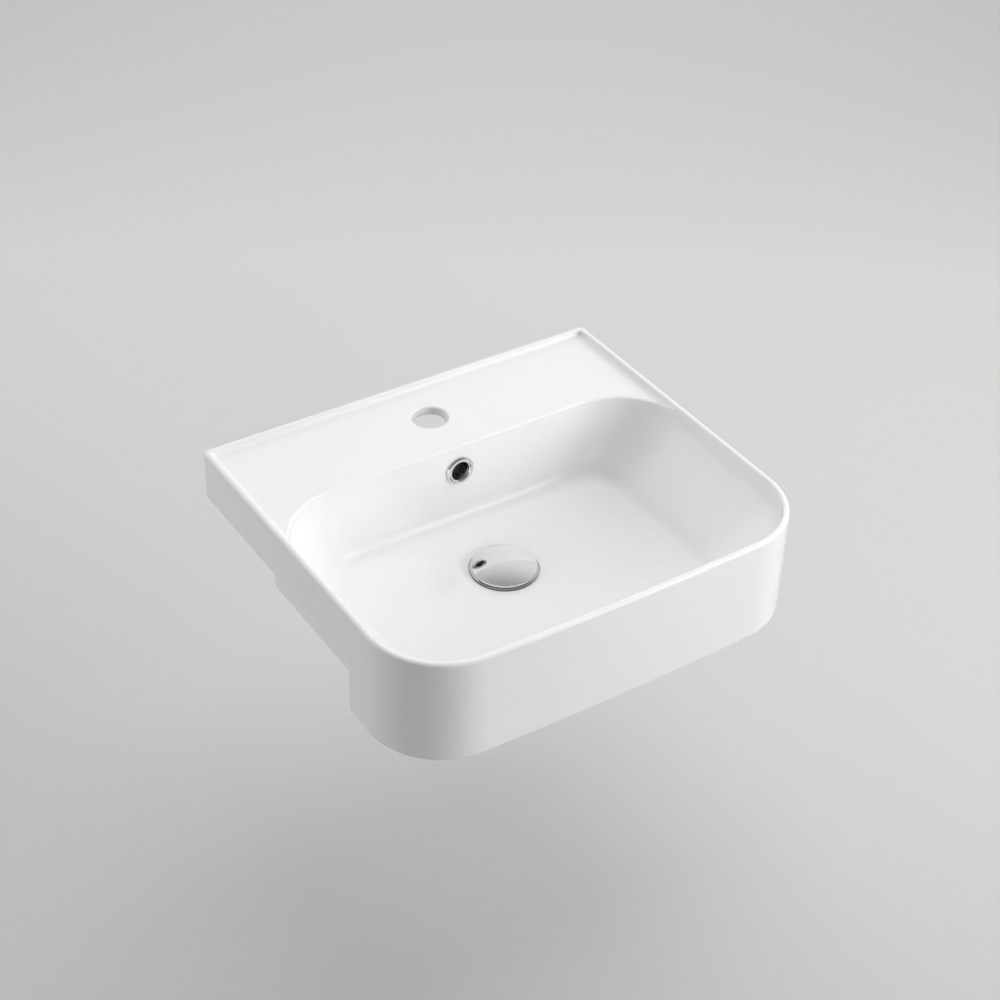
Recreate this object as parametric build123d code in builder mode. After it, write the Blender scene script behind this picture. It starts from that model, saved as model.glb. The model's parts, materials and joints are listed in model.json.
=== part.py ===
from build123d import *
import os
from math import asin, atan2, cos, pi, radians, sin, sqrt

# Semi-recessed wash basin with a push-push waste.
# Frame: z = 0 is the worktop under the ledge, y = 0 is the wall, the front is at -y, x = 0 is the middle.

# ---------------------------------------------------------------- ceramic: driving dimensions (mm)
WIDTH = 420.0
DEPTH = 372.5                # wall to the middle of the bowed front
LEDGE_HEIGHT = 54.0          # worktop to rim
SKIRT_DROP = 52.5            # front skirt below the worktop
BOX_DROP = 68.0              # bowl box below the worktop
BOSS_DROP = 75.0             # waste boss below the worktop
BOW_RADIUS = 4240.0          # gentle bow of the front edge
REAR_CORNER = 6.0
FRONT_CORNER = 71.5
WALL = 9.0                   # ceramic wall thickness
NOTCH_Y = -268.0             # rear end of the skirt, where the worktop's front edge stands

RIM_WIDTH = 6.0              # flat-and-round rim around the deck and the bowl
RIM_ROUND = 3.2
RIM_INNER_ROUND = 1.4
BOWL_OVERLAP = 0.3           # the bowl reaches this far past the foot of the rim
BOWL_EDGE_ROUND = 2.0
DECK_DROP = 6.5              # rim to deck
DECK_COVE = 5.0

BOX_HALF = 185.0
BOX_REAR = -66.0
BOX_FRONT = -282.0
BOX_CORNER = 24.0
BOX_BOTTOM_ROUND = 18.0
LEDGE_BOTTOM_ROUND = 7.0
SKIRT_BOTTOM_ROUND = 3.0

DECK_THICKNESS = 9.0
DECK_TOP = LEDGE_HEIGHT - DECK_DROP
DECK_UNDER = DECK_TOP - DECK_THICKNESS
TAP_Y = -52.2
TAP_HOLE_RADIUS = 17.5
TAP_HOLE_ROUND = 1.5
POCKET_HALF = 45.0           # tap pocket under the deck
POCKET_REAR = -13.0
POCKET_FRONT = -79.0
PIPE_NOTCH_TOP = 24.0        # opening in the rear wall behind the pocket

DRAIN_Y = -184.7
FLOOR_EDGE = -31.0           # bowl floor height at its edge
FLOOR_DRAIN = -43.0          # bowl floor height at the waste
FLOOR_ROUND = 15.0
WASTE_SEAT = -45.0
WASTE_SEAT_RADIUS = 33.0
WASTE_HOLE_RADIUS = 23.0
BOSS_RADIUS = 40.0

OVERFLOW_Z = 19.5
OVERFLOW_TILT = 4.0          # degrees, lean of the bowl's back wall
OVERFLOW_HOLE_RADIUS = 11.5
DUCT_HALF = 16.0             # overflow duct inside the ceramic
DUCT_FRONT = -99.5
DUCT_REAR = -88.0
DUCT_TOP = 34.0
CHAMBER_TOP = -53.0
CHAMBER_BOTTOM = -65.0
CHAMBER_RADIUS = 30.0
DUCT_WALL = 8.0

# Bowl sections: height, half width, back y, front y, back corner radius, front corner radius
BOWL_INSET = RIM_WIDTH - BOWL_OVERLAP
BOWL_TOP = (LEDGE_HEIGHT + 1, WIDTH / 2 - BOWL_INSET, -105.0, -DEPTH + BOWL_INSET, 68.0, FRONT_CORNER - BOWL_INSET)
SHOULDER = 40.0              # the bowl's wall is upright above this height and leans in below it
SHOULDER_EASE = 12.0         # depth over which the wall turns from upright to its slope
BOWL_FOOT = (FLOOR_EDGE, 158.0, -109.8, -322.0, 52.0, 58.0)
DRAIN_DISH = (FLOOR_DRAIN, 36.0, DRAIN_Y + 36.0, DRAIN_Y - 36.0, 20.0, 20.0)

# ---------------------------------------------------------------- waste: driving dimensions (mm)
THREAD_RADIUS = 20.95        # G 1 1/4 male thread, outside
THREAD_PITCH_RADIUS = 20.2   # the same thread where the backnut grips it
THREAD_TOP = -96.0           # the free thread for the trap starts here
TUBE_BORE = 18.3
FLANGE_RADIUS = 31.3
FLANGE_TOP = -41.5
FLANGE_EDGE = 2.0
TUBE_BOTTOM = -121.5
CAP_RADIUS = 31.0
CAP_UNDER = -41.0
CAP_EDGE_TOP = -38.6
CAP_CROWN = -34.4
STEM_RADIUS = 4.0
STEM_FIT = 0.06              # running clearance, radial
BARREL_RADIUS = 8.0
BARREL_BORE = 6.2
BARREL_TOP = -50.0
BARREL_FLOOR = -84.0
BARREL_BOTTOM = -87.0
HUB_BOTTOM = -92.0
STUD_RADIUS = 4.0
CAM_TOP = -67.3
CAM_BOTTOM = -73.0

DRAIN_AXIS = Axis((0, DRAIN_Y, 0), (0, 0, 1))
DRAIN_PLANE = Plane((0, DRAIN_Y, 0), x_dir=(1, 0, 0), z_dir=(0, -1, 0))


def drain_level(height):
    """Horizontal plane centred on the waste."""
    return Plane((0, DRAIN_Y, height))


# ---------------------------------------------------------------- shared shapes
def bowed_outline(half_width, rear, front, rear_radius, front_radius):
    """Plan face: straight back and sides, bowed front, four rounded corners."""
    bow_centre = front + BOW_RADIUS
    reach = BOW_RADIUS - front_radius
    corner_x = half_width - front_radius
    corner_y = bow_centre - sqrt(reach**2 - corner_x**2)
    swing = atan2(corner_y - bow_centre, corner_x)
    tangent = (BOW_RADIUS * cos(swing), bow_centre + BOW_RADIUS * sin(swing))
    front_mid = (corner_x + front_radius * cos(swing / 2), corner_y + front_radius * sin(swing / 2))
    rear_x, rear_y = half_width - rear_radius, rear - rear_radius
    rear_mid = (rear_x + rear_radius * cos(pi / 4), rear_y + rear_radius * sin(pi / 4))
    half_swing = (swing - pi / 2) / 2
    bow_mid = (BOW_RADIUS * cos(half_swing), bow_centre + BOW_RADIUS * sin(half_swing))
    with BuildSketch() as plan:
        with BuildLine():
            Line((0, rear), (rear_x, rear))
            ThreePointArc((rear_x, rear), rear_mid, (half_width, rear_y))
            Line((half_width, rear_y), (half_width, corner_y))
            ThreePointArc((half_width, corner_y), front_mid, tangent)
            ThreePointArc(tangent, bow_mid, (0, front))
            mirror(about=Plane.YZ)
        make_face()
    return plan.sketch


def basin_outline(inset=0.0):
    """The basin's outer plan outline, or one inset from it."""
    rear_radius = max(REAR_CORNER - inset, 4)
    return bowed_outline(WIDTH / 2 - inset, -inset, -DEPTH + inset, rear_radius, FRONT_CORNER - inset)


def bowl_section(height, half_width, rear, front, rear_radius, front_radius, grow=0.0):
    """One level of the bowl, grown outwards for the outside of its wall."""
    face = bowed_outline(half_width + grow, rear + grow, front - grow, rear_radius + grow, front_radius + grow)
    return Plane.XY.offset(height) * face


def wall_share(height):
    """How far the bowl's wall has leant in at a height: 0 at the shoulder, 1 at its foot."""
    def eased(depth):
        return sqrt(depth**2 + SHOULDER_EASE**2) - SHOULDER_EASE
    return eased(SHOULDER - height) / eased(SHOULDER - FLOOR_EDGE)


def bowl_level(height):
    """The bowl's section at a height between the shoulder and the foot of its wall."""
    share = wall_share(height)
    return bowl_section(height, *(top + share * (foot - top) for top, foot in zip(BOWL_TOP[1:], BOWL_FOOT[1:])))


def turn(*profile, plane=DRAIN_PLANE, axis=DRAIN_AXIS):
    """Solid of revolution from (radius, height) points, about the waste's axis unless told otherwise."""
    with BuildSketch(plane) as section:
        with BuildLine():
            Polyline(*profile, close=True)
        make_face()
    revolve(section.sketch, axis=axis)


def ring(inner, outer, low, high):
    """Plain ring about the waste's axis."""
    turn((inner, low), (outer, low), (outer, high), (inner, high))


def hexagon(across_flats, low, high, bore):
    """Hexagonal nut about the waste's axis, with its corners chamfered by a cone at both ends."""
    corner = across_flats / sqrt(3)
    with BuildSketch(drain_level(low)) as flats:
        RegularPolygon(radius=corner, side_count=6)
        Circle(bore, mode=Mode.SUBTRACT)
    extrude(flats.sketch, amount=high - low)
    ease = corner - across_flats / 2
    with BuildSketch(DRAIN_PLANE) as cone:
        with BuildLine():
            Polyline((0, low), (across_flats / 2, low), (corner, low + ease * 0.6), (corner, high - ease * 0.6),
                     (across_flats / 2, high), (0, high), close=True)
        make_face()
    revolve(cone.sketch, axis=DRAIN_AXIS, mode=Mode.INTERSECT)


def block(x_half, y_low, y_high, z_low, z_high, mode=Mode.ADD):
    """A box about x = 0, between two y and two z."""
    with BuildSketch(Plane((0, (y_low + y_high) / 2, z_low))) as base:
        Rectangle(2 * x_half, y_high - y_low)
    extrude(base.sketch, amount=z_high - z_low, mode=mode)


# ---------------------------------------------------------------- overflow place
def back_wall(height):
    """y of the bowl's back wall at a height."""
    return BOWL_TOP[2] + wall_share(height) * (BOWL_FOOT[2] - BOWL_TOP[2])


tilt = radians(OVERFLOW_TILT)
OVERFLOW_PLANE = Plane((0, back_wall(OVERFLOW_Z), OVERFLOW_Z), x_dir=(1, 0, 0), z_dir=(0, -cos(tilt), sin(tilt)))
OVERFLOW_AXIS = Axis(OVERFLOW_PLANE.origin, OVERFLOW_PLANE.z_dir)
OVERFLOW_SECTION = Plane(OVERFLOW_PLANE.origin, x_dir=(1, 0, 0), z_dir=-OVERFLOW_PLANE.y_dir)

# ---------------------------------------------------------------- bowl tools
with BuildPart() as bowl_void:
    loft([bowl_level(SHOULDER), bowl_section(*BOWL_TOP)], ruled=True)
    loft([bowl_level(SHOULDER - depth) for depth in (0, 7, 16, 29, 48, SHOULDER - FLOOR_EDGE)])
    loft([bowl_section(*BOWL_FOOT), bowl_section(*DRAIN_DISH)], ruled=True)
    foot_edges = bowl_void.edges().filter_by_position(Axis.Z, FLOOR_EDGE - 0.1, FLOOR_EDGE + 0.1)
    fillet(foot_edges, radius=FLOOR_ROUND)

with BuildPart() as bowl_shell:
    brim = bowl_section(*BOWL_TOP, grow=WALL)
    shoulder = bowl_section(SHOULDER, *BOWL_TOP[1:], grow=WALL)
    foot = bowl_section(FLOOR_EDGE - WALL, *BOWL_FOOT[1:], grow=WALL)
    dish = bowl_section(FLOOR_DRAIN - WALL, *DRAIN_DISH[1:], grow=WALL)
    loft([brim, shoulder], ruled=True)
    loft([shoulder, foot], ruled=True)
    loft([foot, dish], ruled=True)

# The recess that leaves the rim standing: its floor slopes and its foot is coved
with BuildPart() as deck_recess:
    with BuildSketch(Plane.XY.offset(DECK_TOP)):
        add(basin_outline(RIM_WIDTH))
    extrude(amount=DECK_DROP + 10)
    fillet(deck_recess.faces().sort_by(Axis.Z)[0].edges(), radius=DECK_COVE)

# ---------------------------------------------------------------- basin body
with BuildPart() as basin_outer:
    with BuildSketch():
        add(basin_outline())
    extrude(amount=LEDGE_HEIGHT)
    fillet(basin_outer.faces().sort_by(Axis.Z)[-1].edges(), radius=RIM_ROUND)
    ledge_foot = basin_outer.faces().sort_by(Axis.Z)[0].edges()
    fillet(ledge_foot, radius=LEDGE_BOTTOM_ROUND)

with BuildPart() as skirt:
    with BuildSketch(Plane.XY.offset(-SKIRT_DROP)):
        add(basin_outline())
        with Locations((0, NOTCH_Y)):
            Rectangle(WIDTH + 2, DEPTH, align=(Align.CENTER, Align.MIN), mode=Mode.SUBTRACT)
    extrude(amount=SKIRT_DROP + LEDGE_BOTTOM_ROUND + 1)
    fillet(skirt.faces().sort_by(Axis.Z)[0].edges(), radius=SKIRT_BOTTOM_ROUND)

with BuildPart() as bowl_box:
    with BuildSketch(Plane.XY.offset(-BOX_DROP)):
        with Locations((0, (BOX_REAR + BOX_FRONT) / 2)):
            RectangleRounded(2 * BOX_HALF, BOX_REAR - BOX_FRONT, BOX_CORNER)
    extrude(amount=BOX_DROP + 10)
    fillet(bowl_box.faces().sort_by(Axis.Z)[0].edges(), radius=BOX_BOTTOM_ROUND)

# Cast hollow between the outside and the bowl
with BuildPart() as cast_hollow:
    with BuildSketch(Plane.XY.offset(WALL)):
        add(basin_outline(WALL))
    extrude(amount=DECK_UNDER - WALL - 1)
    with BuildSketch(Plane.XY.offset(-SKIRT_DROP + WALL)):
        add(basin_outline(WALL))
        with Locations((0, NOTCH_Y - WALL)):
            Rectangle(WIDTH + 2, DEPTH, align=(Align.CENTER, Align.MIN), mode=Mode.SUBTRACT)
    extrude(amount=SKIRT_DROP)
    with BuildSketch(Plane.XY.offset(-BOX_DROP + WALL)):
        with Locations((0, (BOX_REAR + BOX_FRONT) / 2)):
            RectangleRounded(2 * (BOX_HALF - WALL), BOX_REAR - BOX_FRONT - 2 * WALL, BOX_CORNER - WALL)
    extrude(amount=BOX_DROP)
    add(bowl_shell.part, mode=Mode.SUBTRACT)

bowl_mouth = bowl_section(*BOWL_TOP).wire()


def on_bowl_edge(edge):
    """Whether an edge follows the bowl's outline along the deck or the foot of the rim."""
    middle = edge @ 0.5
    level = DECK_TOP - 0.1 < middle.Z < DECK_TOP + DECK_COVE
    return level and bowl_mouth.distance_to(Vertex(middle.X, middle.Y, BOWL_TOP[0])) < 0.05


with BuildPart() as basin_body:
    add(basin_outer.part)
    add(skirt.part)
    add(bowl_box.part)
    add(cast_hollow.part, mode=Mode.SUBTRACT)
    # tap pocket walls, overflow duct and waste boss, all inside the hollow
    block(POCKET_HALF + DUCT_WALL, POCKET_FRONT - DUCT_WALL, -WALL, 1, DECK_UNDER)
    block(DUCT_HALF + DUCT_WALL, DUCT_FRONT - DUCT_WALL, DUCT_REAR + DUCT_WALL,
          -BOX_DROP + 1, DECK_UNDER)
    block(DUCT_HALF + DUCT_WALL, DRAIN_Y, DUCT_REAR + DUCT_WALL, -BOX_DROP + 1, CHAMBER_TOP + DUCT_WALL)
    with BuildSketch(drain_level(-BOSS_DROP)):
        Circle(BOSS_RADIUS)
    extrude(amount=BOSS_DROP + WASTE_SEAT)
    # bowl, deck and rim
    add(bowl_void.part, mode=Mode.SUBTRACT)
    add(deck_recess.part, mode=Mode.SUBTRACT)
    # tap pocket, pipe notch and tap hole
    block(POCKET_HALF, POCKET_FRONT, POCKET_REAR, -BOX_DROP - 1, DECK_UNDER, Mode.SUBTRACT)
    block(POCKET_HALF, POCKET_REAR - 1, 1, -1, PIPE_NOTCH_TOP, Mode.SUBTRACT)
    with BuildSketch(Plane((0, TAP_Y, 0))):
        Circle(TAP_HOLE_RADIUS)
    extrude(amount=LEDGE_HEIGHT, mode=Mode.SUBTRACT)
    # overflow duct down behind the bowl, then forward to the chamber round the waste
    block(DUCT_HALF, DUCT_FRONT, DUCT_REAR, CHAMBER_BOTTOM, DUCT_TOP, Mode.SUBTRACT)
    block(DUCT_HALF, DRAIN_Y, DUCT_REAR, CHAMBER_BOTTOM, CHAMBER_TOP, Mode.SUBTRACT)
    with BuildSketch(OVERFLOW_PLANE.offset(3)):
        Circle(OVERFLOW_HOLE_RADIUS)
    extrude(amount=-3 - WALL - 2, mode=Mode.SUBTRACT)
    with BuildSketch(drain_level(CHAMBER_BOTTOM)):
        Circle(CHAMBER_RADIUS)
    extrude(amount=CHAMBER_TOP - CHAMBER_BOTTOM, mode=Mode.SUBTRACT)
    with BuildSketch(drain_level(-BOSS_DROP - 1)):
        Circle(WASTE_HOLE_RADIUS)
    extrude(amount=BOSS_DROP + 10, mode=Mode.SUBTRACT)
    with BuildSketch(drain_level(WASTE_SEAT)):
        Circle(WASTE_SEAT_RADIUS)
    extrude(amount=10, mode=Mode.SUBTRACT)
    # soften the bowl's edge, the inside of the rim and the tap hole
    bowl_edge = basin_body.edges().filter_by(on_bowl_edge)
    fillet(bowl_edge, radius=BOWL_EDGE_ROUND)
    rim_top = basin_body.faces().filter_by(Axis.Z).group_by(Axis.Z)[-1]
    fillet(rim_top.sort_by(SortBy.AREA)[-1].inner_wires()[0].edges(), radius=RIM_INNER_ROUND)
    deck_circles = basin_body.edges().filter_by(GeomType.CIRCLE).filter_by_position(
        Axis.Z, DECK_TOP - 0.1, DECK_TOP + 0.1)
    fillet(deck_circles.filter_by(lambda edge: abs(edge.radius - TAP_HOLE_RADIUS) < 0.1), radius=TAP_HOLE_ROUND)
basin_body.part.label = "basin_body"


# ---------------------------------------------------------------- overflow ring
# Chrome ring: rounded bead on the wall, short spigot in the hole
with BuildPart() as overflow_bezel:
    with BuildSketch(OVERFLOW_SECTION) as bead:
        with BuildLine():
            Polyline((14.5, 0.25), (9.9, 0.25), (9.9, -1.5), (9.2, -1.5), (9.2, 1.7))
            ThreePointArc((9.2, 1.7), (11.6, 3.2), (14.5, 1.0))
            Line((14.5, 1.0), (14.5, 0.25))
        make_face()
    revolve(bead.sketch, axis=OVERFLOW_AXIS)
overflow_bezel.part.label = "overflow_bezel"

# Sprung sleeve that grips the hole: a split tube with a barb on each finger
with BuildPart() as overflow_clip:
    turn((9.95, -0.1), (11.2, -0.1), (11.2, -9.6), (11.45, -10.4), (10.9, -12.2), (9.3, -12.2), (9.3, -1.6),
         (9.95, -1.6),
         plane=OVERFLOW_SECTION, axis=OVERFLOW_AXIS)
    with BuildSketch(OVERFLOW_PLANE.offset(-13)) as slots:
        with PolarLocations(10.5, 6):
            Rectangle(4, 2.2)
    extrude(slots.sketch, amount=9.5, mode=Mode.SUBTRACT)
overflow_clip.part.label = "overflow_clip"

# ---------------------------------------------------------------- waste, fixed pieces
with BuildPart() as waste_body:
    turn((TUBE_BORE, FLANGE_TOP - 4.0), (27.0, FLANGE_TOP - 0.2), (27.6, FLANGE_TOP), (FLANGE_RADIUS - 0.6, FLANGE_TOP),
         (FLANGE_RADIUS, FLANGE_TOP - 0.6), (FLANGE_RADIUS, FLANGE_TOP - FLANGE_EDGE),
         (24.0, FLANGE_TOP - FLANGE_EDGE), (THREAD_PITCH_RADIUS, FLANGE_TOP - FLANGE_EDGE - 3.0),
         (THREAD_PITCH_RADIUS, THREAD_TOP + THREAD_RADIUS - THREAD_PITCH_RADIUS), (THREAD_RADIUS, THREAD_TOP),
         (THREAD_RADIUS, TUBE_BOTTOM + 1.0), (THREAD_RADIUS - 1.0, TUBE_BOTTOM), (TUBE_BORE, TUBE_BOTTOM))
    # overflow windows level with the chamber in the ceramic
    window_height = CHAMBER_TOP - CHAMBER_BOTTOM - 1
    with BuildSketch(drain_level(CHAMBER_BOTTOM + 0.5)) as windows:
        with PolarLocations(TUBE_BORE + 1.5, 4):
            Rectangle(8, 14)
    extrude(windows.sketch, amount=window_height, mode=Mode.SUBTRACT)
    # three-armed bridge that carries the cartridge
    with BuildSketch(drain_level(HUB_BOTTOM)) as bridge:
        Circle(9.5)
        with PolarLocations(14.0, 3, start_angle=90):
            Rectangle(9.4, 4.5)
        Circle(STUD_RADIUS + 0.05, mode=Mode.SUBTRACT)
    extrude(bridge.sketch, amount=BARREL_BOTTOM - HUB_BOTTOM)
waste_body.part.label = "waste_body"

with BuildPart() as flange_gasket:
    ring(24.5, 30.5, WASTE_SEAT, FLANGE_TOP - FLANGE_EDGE)
flange_gasket.part.label = "flange_gasket"

UNDER_WASHER_LOW = -BOSS_DROP - 5.0
SLIP_WASHER_LOW = UNDER_WASHER_LOW - 1.5
NUT_LOW = SLIP_WASHER_LOW - 12.0
with BuildPart() as under_washer:
    turn((21.05, UNDER_WASHER_LOW), (32.0, UNDER_WASHER_LOW), (33.0, UNDER_WASHER_LOW + 1.0),
         (33.0, -BOSS_DROP), (21.05, -BOSS_DROP))
under_washer.part.label = "under_washer"

with BuildPart() as slip_washer:
    ring(21.05, 31.5, SLIP_WASHER_LOW, UNDER_WASHER_LOW)
slip_washer.part.label = "slip_washer"

with BuildPart() as backnut:
    hexagon(56.0, NUT_LOW, SLIP_WASHER_LOW, THREAD_PITCH_RADIUS + 0.05)
backnut.part.label = "backnut"

# ---------------------------------------------------------------- cartridge, fixed pieces
BUSH_BOTTOM = BARREL_TOP - 3.0
RING_BOTTOM = BUSH_BOTTOM - 2.0
with BuildPart() as click_barrel:
    turn((BARREL_BORE, BARREL_TOP), (BARREL_RADIUS - 0.6, BARREL_TOP), (BARREL_RADIUS, BARREL_TOP - 0.6),
         (BARREL_RADIUS, BARREL_BOTTOM), (STUD_RADIUS, BARREL_BOTTOM), (STUD_RADIUS, HUB_BOTTOM - 8.0),
         (0, HUB_BOTTOM - 8.0), (0, BARREL_FLOOR), (BARREL_BORE, BARREL_FLOOR))
click_barrel.part.label = "click_barrel"

with BuildPart() as barrel_bush:
    ring(STEM_RADIUS + STEM_FIT, BARREL_BORE, BUSH_BOTTOM, BARREL_TOP)
barrel_bush.part.label = "barrel_bush"

with BuildPart() as barrel_oring:
    section_radius = (BUSH_BOTTOM - RING_BOTTOM) / 2
    with BuildSketch(DRAIN_PLANE) as cord:
        with Locations((STEM_RADIUS + STEM_FIT + section_radius, BUSH_BOTTOM - section_radius)):
            Circle(section_radius)
    revolve(cord.sketch, axis=DRAIN_AXIS)
barrel_oring.part.label = "barrel_oring"

with BuildPart() as barrel_washer:
    ring(STUD_RADIUS + 0.1, 8.0, HUB_BOTTOM - 1.0, HUB_BOTTOM)
barrel_washer.part.label = "barrel_washer"

with BuildPart() as barrel_nut:
    hexagon(13.0, HUB_BOTTOM - 6.0, HUB_BOTTOM - 1.0, STUD_RADIUS + 0.05)
barrel_nut.part.label = "barrel_nut"

# ---------------------------------------------------------------- pieces that lift with the cap
PIN_RADIUS = 2.5
COLLAR_TOP = CAM_TOP + 3.3
TOOTH = 1.2
with BuildPart() as click_plunger:
    turn((0, CAP_CROWN - 3.0), (STEM_RADIUS - 0.5, CAP_CROWN - 3.0), (STEM_RADIUS, CAP_CROWN - 3.5),
         (STEM_RADIUS, COLLAR_TOP), (BARREL_BORE - 0.3, COLLAR_TOP), (BARREL_BORE - 0.3, CAM_TOP + 0.3),
         (PIN_RADIUS, CAM_TOP + 0.3), (PIN_RADIUS, CAM_BOTTOM - 3.0), (0, CAM_BOTTOM - 3.0))
click_plunger.part.label = "click_plunger"

# Latch rotor: a ring with four slanting teeth round its foot
with BuildPart() as click_cam:
    ring(PIN_RADIUS + 0.06, BARREL_BORE - 0.3, CAM_BOTTOM, CAM_TOP)
    with BuildSketch(drain_level(CAM_TOP - 2 * TOOTH)) as gullets:
        with PolarLocations(BARREL_BORE - 1.0, 4):
            Rectangle(2.4, 2.6)
    extrude(gullets.sketch, amount=2 * TOOTH, mode=Mode.SUBTRACT)
click_cam.part.label = "click_cam"

with BuildPart() as cam_clip:
    with BuildSketch(drain_level(CAM_BOTTOM - 1.4)) as clip_plan:
        Circle(3.8)
        Circle(PIN_RADIUS, mode=Mode.SUBTRACT)
        with Locations((3.0, 0)):
            Rectangle(3.0, 1.6, mode=Mode.SUBTRACT)
    extrude(clip_plan.sketch, amount=0.9)
cam_clip.part.label = "cam_clip"

SPRING_RADIUS = 4.9
SPRING_WIRE = 0.4
spring_low = BARREL_FLOOR + SPRING_WIRE + 0.05
spring_high = CAM_BOTTOM - SPRING_WIRE - 0.15
with BuildPart() as click_spring:
    with BuildLine() as coil:
        Helix(pitch=(spring_high - spring_low) / 4, height=spring_high - spring_low, radius=SPRING_RADIUS,
              center=(0, DRAIN_Y, spring_low))
    with BuildSketch(Plane(coil.line @ 0, z_dir=coil.line % 0)) as wire:
        Circle(SPRING_WIRE)
    sweep(wire.sketch, path=coil.line, is_frenet=True)
click_spring.part.label = "click_spring"

CAP_BOSS_BOTTOM = CAP_UNDER - 4.5
# The crown is a true sphere about a centre on the axis
crown_foot = (CAP_RADIUS - 1.2, CAP_EDGE_TOP + 0.62)
crown_rise = CAP_CROWN - crown_foot[1]
crown_radius = (crown_foot[0]**2 + crown_rise**2) / (2 * crown_rise)
crown_half = asin(crown_foot[0] / crown_radius) / 2
crown_mid = (crown_radius * sin(crown_half), CAP_CROWN - crown_radius * (1 - cos(crown_half)))
with BuildPart() as waste_cap:
    with BuildSketch(DRAIN_PLANE) as dome:
        with BuildLine():
            Polyline((0, CAP_CROWN), (0, CAP_CROWN - 2.6), (STEM_RADIUS, CAP_CROWN - 2.6),
                     (STEM_RADIUS, CAP_BOSS_BOTTOM), (7.0, CAP_BOSS_BOTTOM), (7.0, CAP_UNDER + 1.2),
                     (19.0, CAP_UNDER + 1.2), (19.0, CAP_UNDER), (CAP_RADIUS - 0.6, CAP_UNDER),
                     (CAP_RADIUS, CAP_UNDER + 0.6), (CAP_RADIUS, CAP_EDGE_TOP - 0.4))
            ThreePointArc((CAP_RADIUS, CAP_EDGE_TOP - 0.4), (CAP_RADIUS - 0.35, CAP_EDGE_TOP + 0.3), crown_foot)
            ThreePointArc(crown_foot, crown_mid, (0, CAP_CROWN))
        make_face()
    revolve(dome.sketch, axis=DRAIN_AXIS)
waste_cap.part.label = "waste_cap"

with BuildPart() as cap_seal:
    turn((19.3, CAP_UNDER), (26.0, CAP_UNDER), (26.0, CAP_UNDER - 0.6), (25.0, CAP_UNDER - 1.0),
         (20.0, CAP_UNDER - 3.2), (19.3, CAP_UNDER - 3.0))
cap_seal.part.label = "cap_seal"

with BuildPart() as cap_locknut:
    hexagon(11.0, CAP_BOSS_BOTTOM - 3.0, CAP_BOSS_BOTTOM, STEM_RADIUS + 0.05)
cap_locknut.part.label = "cap_locknut"

# ---------------------------------------------------------------- write every piece
PIECES = [basin_body, overflow_bezel, overflow_clip, waste_body, flange_gasket, under_washer, slip_washer,
          backnut, click_barrel, barrel_bush, barrel_oring, barrel_washer, barrel_nut, click_plunger,
          click_cam, cam_clip, click_spring, waste_cap, cap_seal, cap_locknut]
os.makedirs("parts", exist_ok=True)
for piece in PIECES:
    export_step(piece.part, f"parts/{piece.part.label}.step")
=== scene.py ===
import json
import math

import bpy
from mathutils import Matrix, Vector

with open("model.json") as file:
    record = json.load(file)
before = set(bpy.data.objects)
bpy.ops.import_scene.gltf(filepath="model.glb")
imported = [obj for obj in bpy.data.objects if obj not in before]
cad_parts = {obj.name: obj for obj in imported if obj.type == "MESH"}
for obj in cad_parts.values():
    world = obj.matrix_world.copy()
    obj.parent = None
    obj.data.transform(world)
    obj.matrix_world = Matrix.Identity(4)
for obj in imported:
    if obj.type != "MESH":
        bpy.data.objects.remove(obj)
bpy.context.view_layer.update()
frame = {"nodes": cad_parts, "record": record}
NODES = frame["nodes"]
WHITE = (1, 1, 1)

# ---------------------------------------------------------------- camera
CAMERA_PLACE = Vector((-0.7921, -1.3410, 1.0962))
CAMERA_AZIMUTH = math.radians(-34.17)
CAMERA_ELEVATION = math.radians(37.11)
CAMERA_ROLL = math.radians(1.96)
CAMERA_LENS = 70.6
CAMERA_SENSOR = 36
CAMERA_REACH = 50

# ---------------------------------------------------------------- light and floor
MIDDLE = (0, -0.18, 0)
FLOOR_HEIGHT = -0.45
FLOOR_REACH = 12
FRONT_RIGHT = (1.15, -1.55, 0.62)
FRONT_RIGHT_SIZE = (1.1, 0.9)
SOFT_BOXES = [
    dict(name="top_box", place=(0.25, -0.25, 1.9), size=(1.3, 1.2), power=14),
    dict(name="right_box", place=FRONT_RIGHT, size=FRONT_RIGHT_SIZE, power=21, colour=(1, 1, 0.975)),
    dict(name="gloss_box", place=FRONT_RIGHT, size=FRONT_RIGHT_SIZE, power=19, seen_by="gloss"),
    dict(name="floor_box", place=(1.7, 2.3, 1.5), target=(1.3, 1.8, FLOOR_HEIGHT), size=(1.5, 1.5), power=8),
    dict(name="left_box", place=(-1.6, 0.9, 0.7), size=(1.4, 1.2), power=9.5, colour=(1, 0.985, 0.96)),
]
ROOM_DARK_SIDE = (-0.45, -0.62, 0.64)
ROOM_TURN = (-0.25, 0.5)
ROOM_PALE = (0.81, 0.81, 0.80)
ROOM_DARK = (0.24, 0.24, 0.24)
PAPER_AWAY = (0.56, 0.83, 0)
PAPER_SPAN = (-0.4, 1.1)
# Paper colours: painted shade at the near end, painted light at the far end, standing in for the light's
# falloff
PAPER_NEAR_PAINTED_SHADE = (0.54, 0.54, 0.54)
PAPER_FAR_PAINTED_LIGHT = (0.88, 0.875, 0.865)
PAPER_ROUGHNESS = 0.9
PAPER_SHINE = 0.1

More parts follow.
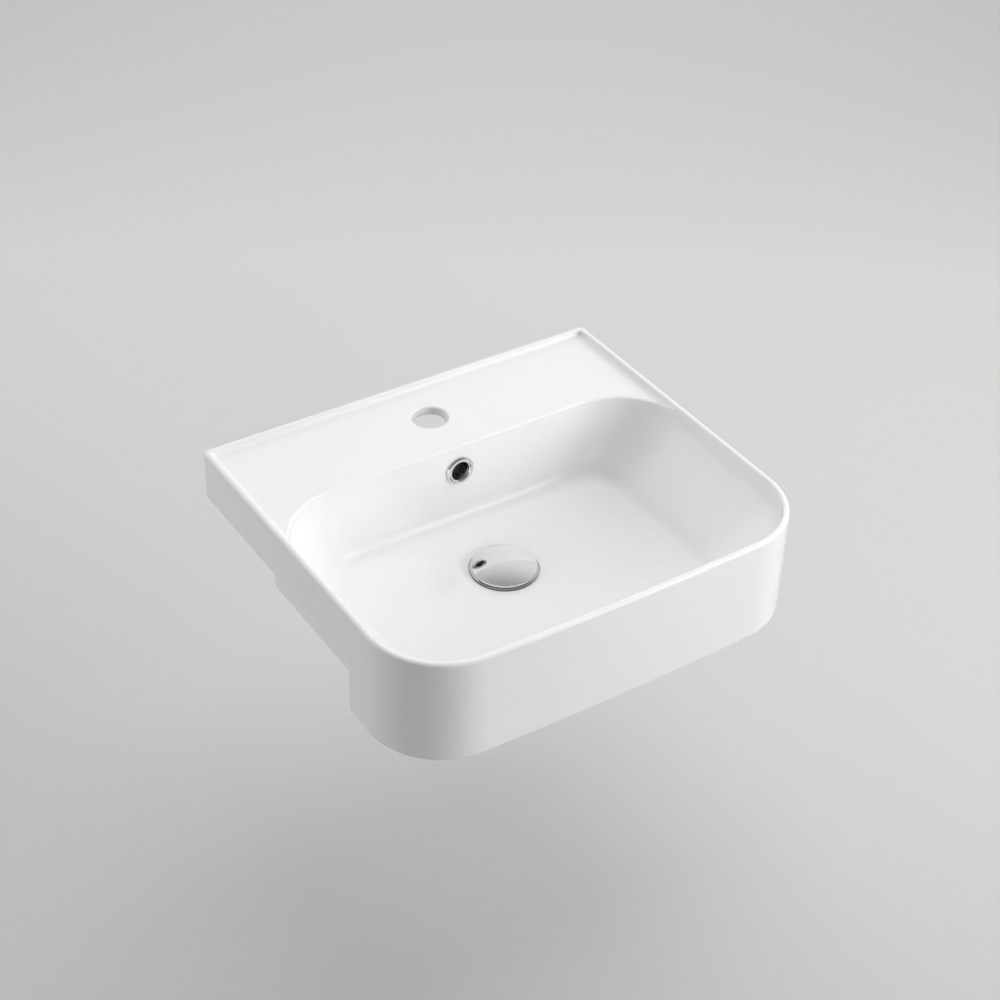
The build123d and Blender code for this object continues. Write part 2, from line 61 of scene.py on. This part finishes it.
# ---------------------------------------------------------------- glaze, plate and turned metal
GLAZE_TINT = (0.918, 0.919, 0.912), (0.935, 0.936, 0.929)
GLAZE_ROUGHNESS = 0.28, 0.34
GLAZE_DRIFT_SCALE = 9
GLAZE_IOR = 1.5
COAT_WEIGHT = 0.8
COAT_ROUGHNESS = 0.07
RIPPLE_SCALE = 55
RIPPLE_STRENGTH = 0.08
RIPPLE_HEIGHT = 0.0006
EDGE_ROUND = 0.0022
EDGE_SAMPLES = 8
CHROME_TINT = (0.80, 0.81, 0.82), (0.86, 0.87, 0.88)
CHROME_ROUGHNESS = 0.015, 0.04
CHROME_HAZE_SCALE = 160
TURNING_SCALE = 700
TURNING_DISTORTION = 1.5
TURNING_STRENGTH = 0.15
TURNING_HEIGHT = 0.00005
TURNING_ROUGHNESS_SPAN = 0.1
GRAIN_STRENGTH = 0.25
GRAIN_ROUGHNESS_SPAN = 0.06


def add_camera():
    """The camera looks down from the front left, with a slight roll."""
    forward = -Vector((math.sin(CAMERA_AZIMUTH) * math.cos(CAMERA_ELEVATION),
                       -math.cos(CAMERA_AZIMUTH) * math.cos(CAMERA_ELEVATION),
                       math.sin(CAMERA_ELEVATION)))
    level_right = forward.cross(Vector((0, 0, 1))).normalized()
    level_up = level_right.cross(forward)
    right = math.cos(CAMERA_ROLL) * level_right + math.sin(CAMERA_ROLL) * level_up
    up = -math.sin(CAMERA_ROLL) * level_right + math.cos(CAMERA_ROLL) * level_up
    data = bpy.data.cameras.new("camera")
    data.lens = CAMERA_LENS
    data.sensor_width = CAMERA_SENSOR
    data.clip_end = CAMERA_REACH
    camera = bpy.data.objects.new("camera", data)
    bpy.context.scene.collection.objects.link(camera)
    camera.matrix_world = Matrix((
        (right.x, up.x, -forward.x, CAMERA_PLACE.x),
        (right.y, up.y, -forward.y, CAMERA_PLACE.y),
        (right.z, up.z, -forward.z, CAMERA_PLACE.z),
        (0, 0, 0, 1)))
    bpy.context.scene.camera = camera


def add_soft_box(name, place, size, power, target=MIDDLE, colour=WHITE, seen_by="matt"):
    """A rectangular light at place, aimed at target, that lights only matt or only gloss surfaces."""
    data = bpy.data.lights.new(name, "AREA")
    data.shape = "RECTANGLE"
    data.size, data.size_y = size
    data.energy = power
    data.color = colour
    light = bpy.data.objects.new(name, data)
    bpy.context.scene.collection.objects.link(light)
    light.location = place
    light.visible_glossy = seen_by == "gloss"
    light.visible_diffuse = seen_by == "matt"
    light.rotation_euler = (Vector(target) - Vector(place)).to_track_quat("-Z", "Y").to_euler()


def add_world():
    """A pale room that is darker overhead and on the camera's side."""
    world = bpy.data.worlds.new("studio")
    world.use_nodes = True
    tree = world.node_tree
    towards = along(tree, "Generated", ROOM_DARK_SIDE)
    share = share_of_span(tree, towards, ROOM_TURN)
    share.interpolation_type = "SMOOTHSTEP"
    background = tree.nodes["Background"]
    tint_between(tree, share.outputs["Result"], ROOM_PALE, ROOM_DARK, background.inputs["Color"])
    background.inputs["Strength"].default_value = 1
    bpy.context.scene.world = world


def add_floor():
    """A wide plain sheet of paper below the basin, with painted shade that darkens it towards the front."""
    mesh = bpy.data.meshes.new("floor")
    signs = ((-1, -1), (1, -1), (1, 1), (-1, 1))
    corners = [(x * FLOOR_REACH, y * FLOOR_REACH, FLOOR_HEIGHT) for x, y in signs]
    mesh.from_pydata(corners, [], [(0, 1, 2, 3)])
    floor = bpy.data.objects.new("floor", mesh)
    bpy.context.scene.collection.objects.link(floor)
    floor.data.materials.append(floor_paper_painted_shade())


# ---------------------------------------------------------------- node helpers
def new_material(name):
    """A node material: (material, node tree, its Principled shader)."""
    material = bpy.data.materials.new(name)
    material.use_nodes = True
    tree = material.node_tree
    return material, tree, tree.nodes["Principled BSDF"]


def along(tree, coordinates, direction):
    """How far the named coordinates reach along direction, as an output."""
    place = tree.nodes.new("ShaderNodeTexCoord")
    reach = tree.nodes.new("ShaderNodeVectorMath")
    reach.operation = "DOT_PRODUCT"
    reach.inputs[1].default_value = direction
    tree.links.new(place.outputs[coordinates], reach.inputs[0])
    return reach.outputs["Value"]


def share_of_span(tree, value, span):
    """The node that turns value, over span, into 0 to 1."""
    share = tree.nodes.new("ShaderNodeMapRange")
    share.inputs["From Min"].default_value, share.inputs["From Max"].default_value = span
    tree.links.new(value, share.inputs["Value"])
    return share


def object_noise(tree, scale, detail=2.0, roughness=0.5):
    """Noise in object coordinates, in metres."""
    place = tree.nodes.new("ShaderNodeTexCoord")
    noise = tree.nodes.new("ShaderNodeTexNoise")
    noise.inputs["Scale"].default_value = scale
    noise.inputs["Detail"].default_value = detail
    noise.inputs["Roughness"].default_value = roughness
    tree.links.new(place.outputs["Object"], noise.inputs["Vector"])
    return noise


def tint_between(tree, factor, low, high, target):
    """Colour between low and high by factor, into target."""
    mix = tree.nodes.new("ShaderNodeMix")
    mix.data_type = "RGBA"
    mix.inputs["A"].default_value = (*low, 1)
    mix.inputs["B"].default_value = (*high, 1)
    tree.links.new(factor, mix.inputs["Factor"])
    tree.links.new(mix.outputs["Result"], target)


def value_between(tree, factor, low, high, target):
    """Number between low and high by factor, into target."""
    span = tree.nodes.new("ShaderNodeMapRange")
    span.inputs["To Min"].default_value = low
    span.inputs["To Max"].default_value = high
    tree.links.new(factor, span.inputs["Value"])
    tree.links.new(span.outputs["Result"], target)


def add_bump(tree, shader, height, strength, distance, edge_round=0.0):
    """Bump from height; edge_round also softens the light on edges, over that many metres."""
    bump = tree.nodes.new("ShaderNodeBump")
    if edge_round:
        soft_edge = tree.nodes.new("ShaderNodeBevel")
        soft_edge.samples = EDGE_SAMPLES
        soft_edge.inputs["Radius"].default_value = edge_round
        tree.links.new(soft_edge.outputs["Normal"], bump.inputs["Normal"])
    bump.inputs["Strength"].default_value = strength
    bump.inputs["Distance"].default_value = distance
    tree.links.new(height, bump.inputs["Height"])
    tree.links.new(bump.outputs["Normal"], shader.inputs["Normal"])


# ---------------------------------------------------------------- materials
def floor_paper_painted_shade():
    """Matt paper with painted shade: its colour is darker near the front and lighter far back, in place of
    the fall of light.
    """
    material, tree, shader = new_material("floor_paper_painted_shade")
    share = share_of_span(tree, along(tree, "Object", PAPER_AWAY), PAPER_SPAN)
    # painted shade: paper colour darkened towards the front, lightened far back
    tint_between(tree, share.outputs["Result"], PAPER_NEAR_PAINTED_SHADE, PAPER_FAR_PAINTED_LIGHT, shader.inputs["Base Color"])
    shader.inputs["Roughness"].default_value = PAPER_ROUGHNESS
    shader.inputs["Specular IOR Level"].default_value = PAPER_SHINE
    return material


def glazed_ceramic():
    """White gloss glaze over a fired body: slight tone drift, faint ripple, clear coat."""
    material, tree, shader = new_material("glazed_ceramic")
    drift = object_noise(tree, GLAZE_DRIFT_SCALE, detail=3)
    tint_between(tree, drift.outputs["Fac"], *GLAZE_TINT, shader.inputs["Base Color"])
    value_between(tree, drift.outputs["Fac"], *GLAZE_ROUGHNESS, shader.inputs["Roughness"])
    shader.inputs["IOR"].default_value = GLAZE_IOR
    shader.inputs["Coat Weight"].default_value = COAT_WEIGHT
    shader.inputs["Coat Roughness"].default_value = COAT_ROUGHNESS
    ripple = object_noise(tree, RIPPLE_SCALE, detail=1)
    add_bump(tree, shader, ripple.outputs["Fac"], RIPPLE_STRENGTH, RIPPLE_HEIGHT, edge_round=EDGE_ROUND)
    return material


def polished_chrome():
    """Bright plate with faint polishing haze."""
    material, tree, shader = new_material("polished_chrome")
    haze = object_noise(tree, CHROME_HAZE_SCALE, detail=4)
    tint_between(tree, haze.outputs["Fac"], *CHROME_TINT, shader.inputs["Base Color"])
    value_between(tree, haze.outputs["Fac"], *CHROME_ROUGHNESS, shader.inputs["Roughness"])
    shader.inputs["Metallic"].default_value = 1
    return material


def turned_metal(name, low, high, rough):
    """Lathe-turned metal: fine rings of tone and height across z."""
    material, tree, shader = new_material(name)
    place = tree.nodes.new("ShaderNodeTexCoord")
    wave = tree.nodes.new("ShaderNodeTexWave")
    wave.bands_direction = "Z"
    wave.inputs["Scale"].default_value = TURNING_SCALE
    wave.inputs["Distortion"].default_value = TURNING_DISTORTION
    tree.links.new(place.outputs["Object"], wave.inputs["Vector"])
    rings = wave.outputs["Fac"]
    tint_between(tree, rings, low, high, shader.inputs["Base Color"])
    value_between(tree, rings, rough, rough + TURNING_ROUGHNESS_SPAN, shader.inputs["Roughness"])
    shader.inputs["Metallic"].default_value = 1
    add_bump(tree, shader, rings, TURNING_STRENGTH, TURNING_HEIGHT)
    return material


def moulded(name, low, high, rough, grain, depth):
    """Rubber or plastic with a fine moulded grain."""
    material, tree, shader = new_material(name)
    noise = object_noise(tree, grain, detail=4, roughness=0.6)
    tint_between(tree, noise.outputs["Fac"], low, high, shader.inputs["Base Color"])
    value_between(tree, noise.outputs["Fac"], rough - GRAIN_ROUGHNESS_SPAN, rough + GRAIN_ROUGHNESS_SPAN,
                  shader.inputs["Roughness"])
    add_bump(tree, shader, noise.outputs["Fac"], GRAIN_STRENGTH, depth)
    return material


# ---------------------------------------------------------------- CAD nodes keep their shape
def dress(materials):
    """Every CAD node's slot takes the finish its record slot names."""
    for entry in frame["record"]["subparts"]:
        node = NODES[entry["node"]]
        node.data.materials.clear()
        node.data.materials.append(materials[entry["material_slot"]])


add_camera()
for soft_box in SOFT_BOXES:
    add_soft_box(**soft_box)
add_world()
add_floor()
dress({
    "glazed_ceramic": glazed_ceramic(),
    "chrome": polished_chrome(),
    "raw_brass": turned_metal("turned_brass", (0.60, 0.42, 0.17), (0.74, 0.55, 0.26), rough=0.28),
    "steel": turned_metal("spring_steel", (0.42, 0.42, 0.43), (0.62, 0.62, 0.63), rough=0.30),
    "gasket_rubber": moulded("gasket_rubber", (0.018, 0.018, 0.02), (0.035, 0.035, 0.037),
                             rough=0.62, grain=900, depth=0.0001),
    "washer_plastic": moulded("washer_plastic", (0.70, 0.70, 0.67), (0.78, 0.78, 0.75),
                              rough=0.45, grain=400, depth=0.00008),
    "clip_plastic": moulded("clip_plastic", (0.03, 0.03, 0.033), (0.055, 0.055, 0.058),
                            rough=0.42, grain=500, depth=0.00008),
})

bpy.context.scene.view_settings.view_transform = "Standard"
